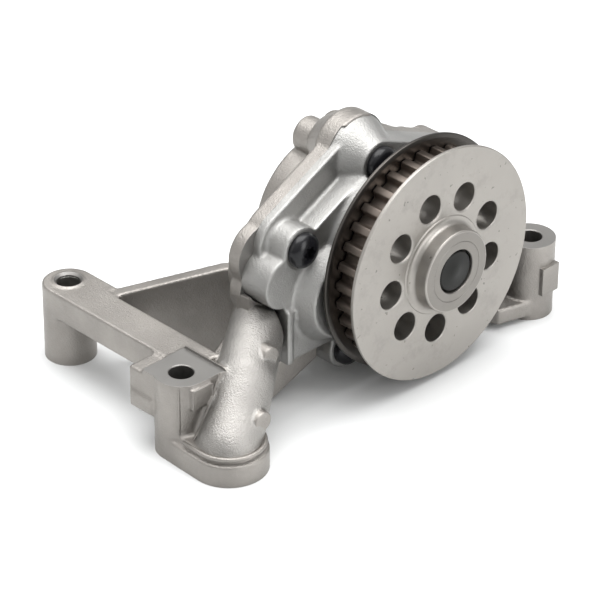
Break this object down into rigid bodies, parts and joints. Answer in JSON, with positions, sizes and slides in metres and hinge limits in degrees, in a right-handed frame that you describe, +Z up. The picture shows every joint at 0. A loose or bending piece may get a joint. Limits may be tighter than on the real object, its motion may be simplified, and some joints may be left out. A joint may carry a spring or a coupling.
{
  "type": "engine oil pump",
  "caption": "Belt-driven engine oil pump with toothed pulley, gerotor set, relief valve and three-legged cast aluminium housing",
  "frame": {"origin": "centre of the front foot's bolt hole, on the plane of the mounting faces", "axes": "+Z up from the mounting plane; +Y along the shaft from the pulley to the rear of the pump; +X to the right seen from the pulley side"},
  "size_m": [0.1817, 0.1245, 0.0979],
  "materials": {
    "cast_housing": "die-cast, fine blasted skin with machined pads",
    "cast_cover": "die-cast, smooth bright skin",
    "black_screw": "black, semi-gloss",
    "ground_steel": "ground",
    "bush_bronze": "plain bearing metal",
    "pulley_steel": "satin machined",
    "flange_steel": "dark pressed sheet",
    "sintered_steel": "sintered, ground faces",
    "spring_steel": "drawn wire",
    "plated_steel": "bright zinc plate",
    "seal_washer": "soft, plain",
    "seal_rubber": "moulded"
  },
  "bodies": {
    "pump_body": {"pump_housing": "cast_housing", "pump_cover": "cast_cover", "cover_screws": "black_screw", "cover_dowels": "ground_steel", "cover_bush": "bush_bronze", "rear_bush": "bush_bronze", "relief_spring": "spring_steel", "relief_plug": "plated_steel", "relief_plug_washer": "seal_washer", "port_seal": "seal_rubber", "left_foot_sleeve": "plated_steel", "right_foot_sleeve": "plated_steel"},
    "drive": {"drive_shaft": "ground_steel", "drive_pulley": "pulley_steel", "pulley_rear_flange": "flange_steel", "inner_rotor": "sintered_steel", "rotor_drive_pin": "ground_steel"},
    "ring": {"outer_rotor": "sintered_steel"},
    "piston": {"relief_piston": "ground_steel"}
  },
  "joints": [
    {"name": "drive_spin", "type": "hinge", "parent": "pump_body", "child": "drive", "pos_m": [0.099, 0.006, 0.0485], "axis": [0, 1, 0], "continuous": true},
    {"name": "ring_spin", "type": "hinge", "parent": "pump_body", "child": "ring", "pos_m": [0.0965, 0.016, 0.0485], "axis": [0, 1, 0], "continuous": true},
    {"name": "relief_slide", "type": "slide", "parent": "pump_body", "child": "piston", "axis": [0.8616, 0, -0.5075], "range_m": [0, 0.006], "stiffness_N_per_m": 500, "springref_m": -0.004, "deforming": ["relief_spring"]}
  ],
  "couplings": [
    {"joint": "ring_spin", "follows": "drive_spin", "ratio": 0.85714}
  ]
}
